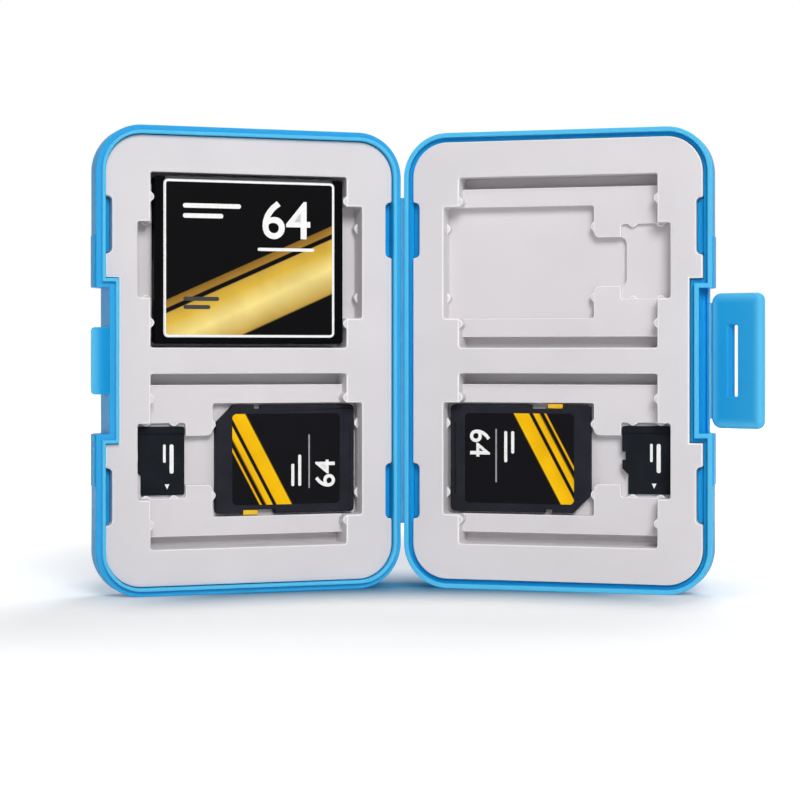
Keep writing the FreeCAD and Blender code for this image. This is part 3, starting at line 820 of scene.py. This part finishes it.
def softTray():
    body = planBlock("base_tray_moulding", shell["trayInset"], tray["face"], cavityFloor)
    combine(body, "DIFFERENCE", [recessCutter(shell["trayInset"])] + notchBlocks(0, mouthY))
    mergeFlats(body)
    bevelEdges(body, uprightAt(notchMouths()), tray["mouthRound"], tray["mouthSteps"])
    sloped = planBlock("sloped", shell["trayInset"], mouthY, cavityFloor)
    combine(body, "INTERSECT", [bevelEdges(sloped, atDepth(cavityFloor), tray["backSlope"], 1)])
    for z in tray["pocketMiddles"]:
        combine(body, "DIFFERENCE", pocketCutters(z))
    mergeFlats(body)
    bevelEdges(body, ledgeEdge, tray["ledgeRound"], tray["ledgeSteps"])
    bevelEdges(body, atDepth(tray["face"]), tray["faceRound"], tray["faceSteps"])
    return combine(body, "UNION", [pocketNubs()])


def markHighlightFaces(piece):
    # notes which faces are rounded edges that look to the front, where the painted highlight goes
    least, most = tray["highlightTilt"]
    edge = piece.data.attributes.new("edge", "FLOAT", "FACE")
    for face in piece.data.polygons:
        edge.data[face.index].value = 1.0 if least < -face.normal.y < most else 0.0
    return piece


trayRubber = mouldedElastomer()
trayDraft = markHighlightFaces(softTray())
lidTray = smoothFaces(standLid(copyOf(trayDraft, "lid_tray_moulding")))
finish(lidTray, trayRubber, "lid")
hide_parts("lid_tray")
baseTray = smoothFaces(standBase(trayDraft))
finish(baseTray, trayRubber, "base")
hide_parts("base_tray")
print("trays modelled")

# Latch and the two folding webs

latch = {
    "start": 0.35, "end": 12.6, "length": 29.3, "sink": 0.6, "thickness": 2.2,
    "innerCorner": 2.2, "outerCorner": 1.7, "cornerSteps": 8,
    "frontRound": 0.95, "frontSteps": 8, "backRound": 0.55, "backSteps": 5,
    "slotStart": 4.5, "slotWidth": 2.4, "slotLength": 15.5, "slotTaper": 0.75,
    "slotCorner": 0.4, "slotSteps": 5, "slotMouth": 0.3, "mouthSteps": 3,
}


def slotCutter(x, z, y):
    # its side towards the fold line slants, so that the slot narrows to its back
    lean = latch["slotTaper"] / latch["thickness"]
    near = x[0] - lean * overcut
    far = x[0] + latch["slotTaper"] + lean * overcut
    cutter = block("slot", (near, x[1]), z, (y[0] - overcut, y[1] + overcut))
    emptySelection(cutter, "VERT")
    for vertex in cutter.data.vertices:
        vertex.select = vertex.co.y > 0
    bpy.ops.object.mode_set(mode="EDIT")
    bpy.ops.transform.resize(value=((x[1] - far) / (x[1] - near), 1, 1), center_override=(x[1] * mm, 0, 0))
    bpy.ops.object.mode_set(mode="OBJECT")

    def throughPlate(a, b):
        return abs(a.y - b.y) > latch["thickness"]

    return bevelEdges(cutter, throughPlate, latch["slotCorner"], latch["slotSteps"])


def latchPlate():
    # drawn flat, out from its fold line
    x = (latch["start"], latch["end"])
    y = (-latch["sink"], latch["thickness"] - latch["sink"])
    z = around(middleZ, latch["length"])
    plate = block("latch_moulding", x, z, y)
    for end, corner in zip(x, (latch["innerCorner"], latch["outerCorner"])):
        bevelEdges(plate, uprightAt([(end, z[0]), (end, z[1])]), corner, latch["cornerSteps"])
    bevelEdges(plate, atDepth(y[0]), latch["frontRound"], latch["frontSteps"])
    bevelEdges(plate, atDepth(y[1]), latch["backRound"], latch["backSteps"])
    slotX = (latch["slotStart"], latch["slotStart"] + latch["slotWidth"])
    slotZ = around(middleZ, latch["slotLength"])
    combine(plate, "DIFFERENCE", [slotCutter(slotX, slotZ, y)])

    def slotMouth(a, b):
        middle = (a + b) / 2
        beside = slotX[0] - tiny < middle.x < slotX[1] + tiny and slotZ[0] - tiny < middle.z < slotZ[1] + tiny
        return beside and (atDepth(y[0])(a, b) or atDepth(y[1])(a, b))

    return bevelEdges(plate, slotMouth, latch["slotMouth"], latch["mouthSteps"])


latchSize = (latch["end"] - latch["start"], latch["length"])
latchMiddle = ((latch["end"] + latch["start"]) / 2, middleZ)
# the latch's outline and its free end carry painted light
latchPlastic = mouldedPolypropylene("polypropylene_moulded_latch", latchLine, -latchLean,
                                    plateHighlight(latchMiddle, latchSize))
latchPiece = latchPlate()
latchPiece.rotation_euler.z = -latchLean
latchPiece.location = latchLine
smoothFaces(freeze(latchPiece))
finish(latchPiece, latchPlastic, "latch")
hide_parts("latch")

web = {
    "thickness": 0.4, "steps": 14, "edgeRound": 0.1, "edgeSteps": 2, "spineDrop": 0.25, "spineLength": 73.3,
    "latchWidth": 0.7, "latchLength": 25.2,
}


def bentWeb(name, start, front, halfGap, length, bend):
    # a strip's end face swept round the arc that meets both sides of the fold squarely
    arc = halfGap / math.tan(abs(bend) / 2)
    clearSelection()
    bpy.ops.mesh.primitive_plane_add(size=1, rotation=(0, math.radians(90), 0))
    piece = bpy.context.object
    piece.name = name
    piece.scale = (length * mm, web["thickness"] * mm, 1)
    piece.location = (start * mm, (front + web["thickness"] / 2) * mm, middleZ * mm)
    editAll(freeze(piece))
    # with no window the spin goes the other way round
    centre = (start * mm, (front - arc) * mm, 0)
    bpy.ops.mesh.spin(steps=web["steps"], angle=-bend, center=centre, axis=(0, 0, 1))
    bpy.ops.object.mode_set(mode="OBJECT")
    softenEdges(closeSeams(piece), web["edgeRound"], web["edgeSteps"])
    return smoothFaces(standBase(piece))


spinePlastic = foldingPolypropylene("polypropylene_thin_spine", "#3AA3DA", "#4BB0E2")
spineFront = shell["rimGap"] + web["spineDrop"]
spineGap = shell["hingeGap"] + spineFront * math.tan(foldAngle / 2)
spineWeb = bentWeb("spine_web_moulding", shell["hingeGap"], spineFront, spineGap, web["spineLength"],
                   foldAngle)
finish(spineWeb, spinePlastic)
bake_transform(spineWeb)
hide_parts("spine_web")

# the latch web's much paler blue is painted light, for light showing through the thin web
latchWebPlastic = foldingPolypropylene("polypropylene_thin_latch", "#6FC6EE", "#86D2F3")
latchEdge = recessWall + shell["ledgeReach"]
latchWeb = bentWeb("latch_web_moulding", latchEdge, shell["ledgeDrop"], web["latchWidth"] / 2,
                   web["latchLength"], -latchLean)
finish(latchWeb, latchWebPlastic)
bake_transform(latchWeb)
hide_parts("latch_web")
print("latch and webs modelled")

# Cards: the solids of the frame, with their edges rounded where they show

lowerZ, upperZ = tray["pocketMiddles"]
# out is how far a card's middle is from the hinge line, front its face's depth, and turn is in its own plane
cards = {
    "cf": {"onLid": True, "out": tray["largeMiddle"], "z": upperZ, "front": 0.5, "turn": 0},
    "sd_left": {"onLid": True, "out": tray["middleMiddle"], "z": lowerZ, "front": 3.9, "turn": math.pi},
    "sd_right": {"onLid": False, "out": tray["middleMiddle"], "z": lowerZ, "front": 3.9, "turn": 0},
    "micro_left": {"onLid": True, "out": tray["smallMiddle"], "z": lowerZ, "front": 4.1, "turn": 0},
    "micro_right": {"onLid": False, "out": tray["smallMiddle"], "z": lowerZ, "front": 4.1, "turn": 0},
}
# the depths of the faces whose edges are rounded, and the rectangle, in x and z, whose edges stay sharp
edgeRounds = {
    "frame": {"faces": (0, 3.3), "size": 0.35, "sharp": ((-20.4, 20.4), (-18.1, 18.1))},
    "front": {"faces": (0,), "size": 0.3, "sharp": ((-15.35, 12.6), (-10.4, 10.4))},
    "back": {"faces": (2.1,), "size": 0.3, "sharp": ((-14.2, 14.2), (-10.4, 10.4))},
    "lock": {"faces": (0.4, 1.7), "size": 0.15},
    "body": {"faces": (-0.3, 0), "size": 0.14},
}
roundSteps = 4


def cardPlace(cardName):
    # from a card's own plane, x across, z up and y into it, to the frame
    card = cards[cardName]
    side, swing = (-1, foldAngle) if card["onLid"] else (1, 0.0)
    half = Matrix.Translation(hingeLine) @ Matrix.Rotation(swing, 4, "Z")
    seat = Matrix.Translation(Vector((side * card["out"], card["front"], card["z"])) * mm)
    return half @ seat @ Matrix.Rotation(card["turn"], 4, "Y")


def paint(node, material):
    frame["nodes"][node].data.materials[0] = material


def edgesToRound(rounds):
    def staysSharp(p):
        x, z = rounds["sharp"]
        return x[0] < p.x < x[1] and z[0] < p.z < z[1]

    def wanted(a, b):
        onFace = any(atDepth(depth)(a, b) for depth in rounds["faces"])
        return onFace and not ("sharp" in rounds and (staysSharp(a) or staysSharp(b)))

    return wanted


def roundedPiece(cardName, part, material, body=None):
    # a solid of the frame with some of its edges rounded, which is done in the card's own plane
    node = cardName + "_" + part
    piece = copyOf(frame["nodes"][node], node + "_moulding")
    piece.parent = None
    for key in list(piece.keys()):
        del piece[key]
    place = cardPlace(cardName)
    piece.matrix_world = place.inverted()
    mergeFlats(closeSeams(freeze(piece)))
    bevelEdges(piece, edgesToRound(edgeRounds[part]), edgeRounds[part]["size"], roundSteps)
    piece.matrix_world = place
    smoothFaces(freeze(piece))
    finish(piece, material, body or cardName + "_card")
    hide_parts(node)


# a label's bands lie across its slant, each with (place in mm, ink) from edge to edge
cfLabel = {
    "slant": -24, "ground": "#040406",
    # the first gold band rises to a pale stop and falls back: gold ink, with a painted highlight across its
    # middle
    "bands": [[(-14.0, "#C09A44"), (-9.0, "#F3DD8C"), (-5.0, "#D9B23F"), (-3.05, "#C8A043")],
              [(-1.95, "#A67D33"), (-0.4, "#8A6526")]],
}
sdLabel = {
    "slant": 62, "ground": "#0E0D12",
    "bands": [[(3.5, "#FBC510"), (6.5, "#F7B90B")], [(7.5, "#FBC510"), (8.7, "#F7B90B")],
              [(9.65, "#F7B90B"), (10.1, "#F7B90B")]],
}
labelReach = 26.0
bandEdge = 0.05  # how soft the edge of a band is


def bandStops(label):
    # the ground up to each band's edges, with the band's own inks between them
    ground = label["ground"]
    stops = [(-labelReach, ground)]
    for band in label["bands"]:
        stops += [(band[0][0] - bandEdge, ground), *band, (band[-1][0] + bandEdge, ground)]
    return stops + [(labelReach, ground)]


def labelFilm(name, cardName, label):
    place = cardPlace(cardName)
    angle = math.radians(label["slant"])
    acrossBands = (math.sin(angle), 0, math.cos(angle))
    return printedFilm(name, place.translation, place.to_euler(), acrossBands, bandStops(label))


blackPlastic = mouldedCardPlastic("abs_textured_black", "#020203", "#050506", (0.44, 0.56))
greyPlastic = mouldedCardPlastic("abs_textured_charcoal", "#24252C", "#2B2C33", (0.46, 0.58))
microPlastic = mouldedCardPlastic("epoxy_moulded_black", "#191C21", "#202329", (0.39, 0.51))
yellowAcetal = plainMoulding("acetal_moulded_yellow", "#E5B413", "#EFC31C", (0.37, 0.47))
socketPlastic = plainMoulding("nylon_socket_black", "#0E0E10", "#151517", (0.45, 0.55))
steel = brushedSteel()
gold = goldPlate()
board = solderMask()

roundedPiece("cf", "frame", blackPlastic)
paint("cf_front_cover", steel)
paint("cf_back_cover", steel)
paint("cf_connector", socketPlastic)
paint("cf_label", labelFilm("label_film_gold", "cf", cfLabel))
for side in ("sd_left", "sd_right"):
    roundedPiece(side, "front", greyPlastic)
    roundedPiece(side, "back", greyPlastic)
    roundedPiece(side, "lock", yellowAcetal, side + "_lock_tab")
    paint(side + "_board", board)
    paint(side + "_contacts", gold)
    paint(side + "_label", labelFilm("label_film_" + side, side, sdLabel))
for side in ("micro_left", "micro_right"):
    roundedPiece(side, "body", microPlastic)
    paint(side + "_contacts", gold)
print("cards finished")

# Printed figures and bars

# in mm on a card's own plane; a bar is its middle in x and z, its width and its height
cfMarks = {
    "figure": {"words": "64", "x": 8.2, "z": 8.6, "height": 8.0, "turn": 0, "weight": 0.12},
    "whiteBars": [(8.2, 2.6, 13.0, 0.7), (-8.6, 11.9, 13.0, 1.0), (-10.6, 9.7, 9.0, 1.0)],
    "blackBars": [(-11.0, -8.4, 8.0, 0.9), (-12.0, -10.2, 6.0, 0.9)],
    "border": {"x": (-19.25, 19.25), "z": (-16.65, 17.45), "corner": 0.9, "width": 0.4},
}
sdMarks = {
    "figure": {"words": "64", "x": -9.4, "z": 3.4, "height": 4.4, "turn": 90, "weight": 0.08},
    "whiteBars": [(-3.2, 2.6, 0.7, 7.0), (-1.6, 3.6, 0.7, 5.0)],
    "greyBars": [(-5.4, 0.6, 0.35, 12.0)],
}
microMarks = {
    "arrow": {"x": 1.6, "z": -5.5, "size": 0.75},
    "whiteBars": [(2.6, 0.4, 0.9, 6.4), (1.0, 1.6, 0.6, 4.0)],
}
# numerals are numeralShare of the type size high, and the rounds are shares of a mark's own size
printing = {
    "thickness": 0.03, "numeralShare": 0.69, "curveSteps": 5, "barRound": 0.45, "barSteps": 4,
    "borderSteps": 5, "arrowSlim": 0.8, "arrowRound": 0.08, "arrowSteps": 3,
}
inkDepth = (-printing["thickness"], 0)
inkMiddle = -printing["thickness"] / 2


def figure(words, x, z, height, turn, weight):
    # plain numerals standing on the card's face, turned clockwise as asked
    clearSelection()
    bpy.ops.object.text_add(rotation=(math.radians(90), math.radians(turn), 0))
    piece = bpy.context.object
    piece.data.body = words
    piece.data.size = height / printing["numeralShare"] * mm
    piece.data.align_x = "CENTER"
    piece.data.align_y = "CENTER"
    piece.data.extrude = printing["thickness"] / 2 * mm
    piece.data.offset = weight * mm
    piece.data.resolution_u = printing["curveSteps"]
    pick(piece)
    bpy.ops.object.convert(target="MESH")
    piece = bpy.context.object
    piece.location = (x * mm, inkMiddle * mm, z * mm)
    return closeSeams(freeze(piece))


def bars(places):
    # bars with round ends
    pieces = []
    for x, z, width, height in places:
        piece = block("bar", around(x, width), around(z, height), inkDepth)
        corner = printing["barRound"] * min(width, height)
        pieces.append(bevelEdges(piece, alongDepth, corner, printing["barSteps"]))
    return pieces


def border(x, z, corner, width):
    # a line round a label
    ring = roundedBlock("border", x, z, inkDepth, corner, printing["borderSteps"])
    inner = roundedBlock("inner", (x[0] + width, x[1] - width), (z[0] + width, z[1] - width),
                         (-overcut, overcut), corner - width, printing["borderSteps"])
    return combine(ring, "DIFFERENCE", [inner])


def arrow(x, z, size):
    # the mark for the end that goes in first, pointing down
    clearSelection()
    bpy.ops.mesh.primitive_cylinder_add(vertices=3, radius=size * mm, depth=printing["thickness"] * mm,
                                        rotation=(math.radians(90), math.radians(180), 0))
    piece = bpy.context.object
    piece.scale.x = printing["arrowSlim"]
    piece.location = (x * mm, inkMiddle * mm, z * mm)
    return bevelEdges(freeze(piece), alongDepth, printing["arrowRound"] * size, printing["arrowSteps"])


def printOn(cardName, kind, material, marks):
    piece = join(cardName + "_print_" + kind, marks)
    piece.matrix_world = cardPlace(cardName)
    finish(freeze(piece), material, cardName + "_card")


whiteInk = printInk("screen_ink_white", "#ECECEA", "#F7F7F5")
greyInk = printInk("screen_ink_grey", "#8B8D92", "#9A9CA1")
blackInk = printInk("screen_ink_black", "#0B0B0D", "#141416")

printOn("cf", "white", whiteInk,
        [figure(**cfMarks["figure"]), *bars(cfMarks["whiteBars"]), border(**cfMarks["border"])])
printOn("cf", "black", blackInk, bars(cfMarks["blackBars"]))
for side in ("sd_left", "sd_right"):
    printOn(side, "white", whiteInk, [figure(**sdMarks["figure"]), *bars(sdMarks["whiteBars"])])
    printOn(side, "grey", greyInk, bars(sdMarks["greyBars"]))
for side in ("micro_left", "micro_right"):
    printOn(side, "white", whiteInk, [arrow(**microMarks["arrow"]), *bars(microMarks["whiteBars"])])
print("prints made")

# Stage

# the photograph's viewpoint: turn in degrees about the hinge line, distances in mm
view = {"turn": 15.65, "distance": 463.4, "aside": -0.54, "height": 52.2, "lens": 92.58, "shiftY": -0.056}
# lengths in metres, but for shadeReach in mm
stage = {
    "floorWhite": "#F3F4F5", "paper": "#F2F3F4", "shade": "#3F7391", "floorSize": 6,
    "shadeReach": 34.0, "shadeSamples": 16, "shadeRun": (0.55, 1.0), "shadeEnds": (0.03, 0.085),
    "nearGlow": 0.3, "farGlow": 0.95, "glowRun": (0.08, 0.3),
    "ambient": 0.18, "panelSize": 0.6, "panelAim": (0, 0, 0.05),
}
# where each square lamp stands, in metres, and its watts
panels = {
    "frontPanel": ((0.58, -1.13, 0.82), 15.8),
    "leftPanel": ((-0.86, -0.72, 0.7), 0.8),
    "backPanel": ((0.1, 0.8, 0.9), 6.0),
}


def addCamera():
    turn = math.radians(view["turn"])
    aside = Vector((math.cos(turn), math.sin(turn), 0)) * view["aside"] * mm
    back = Vector((math.sin(turn), -math.cos(turn), 0)) * view["distance"] * mm
    up = Vector((0, 0, view["height"] * mm))
    clearSelection()
    bpy.ops.object.camera_add(location=hingeLine + aside + back + up, rotation=(math.radians(90), 0, turn))
    camera = bpy.context.object
    camera.data.lens = view["lens"]
    camera.data.shift_y = view["shiftY"]
    bpy.context.scene.camera = camera


def addPanel(name, place, power):
    clearSelection()
    bpy.ops.object.light_add(type="AREA", location=place)
    lamp = bpy.context.object
    lamp.name = name
    lamp.data.shape = "RECTANGLE"
    lamp.data.size = stage["panelSize"]
    lamp.data.size_y = stage["panelSize"]
    lamp.data.energy = power
    lamp.rotation_euler = (Vector(stage["panelAim"]) - Vector(place)).to_track_quat("-Z", "Y").to_euler()


def seenDirectly(tree):
    # 1 for what the camera sees itself, or in a mirror or through glass
    rays = addNode(tree, "ShaderNodeLightPath").outputs
    first = addNode(tree, "ShaderNodeMath", {"operation": "MAXIMUM"},
                    {0: rays["Is Camera Ray"], 1: rays["Is Glossy Ray"]})
    return addNode(tree, "ShaderNodeMath", {"operation": "MAXIMUM"},
                   {0: first.outputs[0], 1: rays["Is Transmission Ray"]}).outputs[0]


def contactShade(tree, place):
    # the paper's colour, with a contact shade under the case that has some of its blue in it
    openness = addNode(tree, "ShaderNodeAmbientOcclusion", {
        "Distance": stage["shadeReach"] * mm, "samples": stage["shadeSamples"],
    })
    clear = addNode(tree, "ShaderNodeMapRange", {
        "From Min": stage["shadeRun"][0], "From Max": stage["shadeRun"][1],
    }, {"Value": openness.outputs["AO"]})
    fromHinge = addNode(tree, "ShaderNodeVectorMath", {"operation": "DISTANCE", 1: hingeLine}, {0: place})
    near, far = stage["shadeEnds"]
    ends = addNode(tree, "ShaderNodeMapRange", {
        "interpolation_type": "SMOOTHSTEP", "From Min": near, "From Max": far,
    }, {"Value": fromHinge.outputs["Value"]})
    share = addNode(tree, "ShaderNodeMath", {"operation": "MAXIMUM"},
                    {0: clear.outputs["Result"], 1: ends.outputs["Result"]})
    return addNode(tree, "ShaderNodeMix", {
        "data_type": "RGBA", 6: colour(stage["shade"]), 7: colour(stage["floorWhite"]),
    }, {0: share.outputs[0]}).outputs[2]


def floorPaper():
    material = bpy.data.materials.new("floor_paper")
    material.use_nodes = True
    tree = material.node_tree
    tree.nodes.remove(tree.nodes["Principled BSDF"])
    paper = addNode(tree, "ShaderNodeBsdfDiffuse", {"Color": colour(stage["paper"])})
    place = addNode(tree, "ShaderNodeTexCoord").outputs["Object"]
    shade = contactShade(tree, place)
    shaded = addNode(tree, "ShaderNodeBsdfDiffuse", {}, {"Color": shade})
    # away from the object, where the lamps fall off, the paper is lifted to the white of the background
    away = addNode(tree, "ShaderNodeVectorMath", {"operation": "LENGTH"}, {0: place})
    near, far = stage["glowRun"]
    lift = addNode(tree, "ShaderNodeMapRange", {
        "interpolation_type": "SMOOTHSTEP", "From Min": near, "From Max": far,
        "To Min": stage["nearGlow"], "To Max": stage["farGlow"],
    }, {"Value": away.outputs["Value"]})
    glow = addNode(tree, "ShaderNodeEmission", {}, {"Color": shade, "Strength": lift.outputs["Result"]})
    both = addNode(tree, "ShaderNodeAddShader", {}, {0: shaded.outputs[0], 1: glow.outputs[0]})
    mix = addNode(tree, "ShaderNodeMixShader", {},
                  {0: seenDirectly(tree), 1: paper.outputs[0], 2: both.outputs[0]})
    tree.links.new(mix.outputs[0], tree.nodes["Material Output"].inputs["Surface"])
    return material


def addFloor():
    clearSelection()
    bpy.ops.mesh.primitive_plane_add(size=stage["floorSize"])
    floor = bpy.context.object
    floor.name = "floor"
    floor.data.materials.append(floorPaper())


def lightWorld():
    world = bpy.context.scene.world or bpy.data.worlds.new("studio")
    bpy.context.scene.world = world
    world.use_nodes = True
    tree = world.node_tree
    shine = tree.nodes["Background"]
    shine.inputs["Color"].default_value = (1, 1, 1, 1)
    strength = addNode(tree, "ShaderNodeMapRange", {"To Min": stage["ambient"], "To Max": 1.0},
                       {"Value": seenDirectly(tree)})
    tree.links.new(strength.outputs["Result"], shine.inputs["Strength"])


addCamera()
addFloor()
lightWorld()
for name, (place, power) in panels.items():
    addPanel(name, place, power)
bpy.context.scene.view_settings.view_transform = "Standard"
print("stage set")
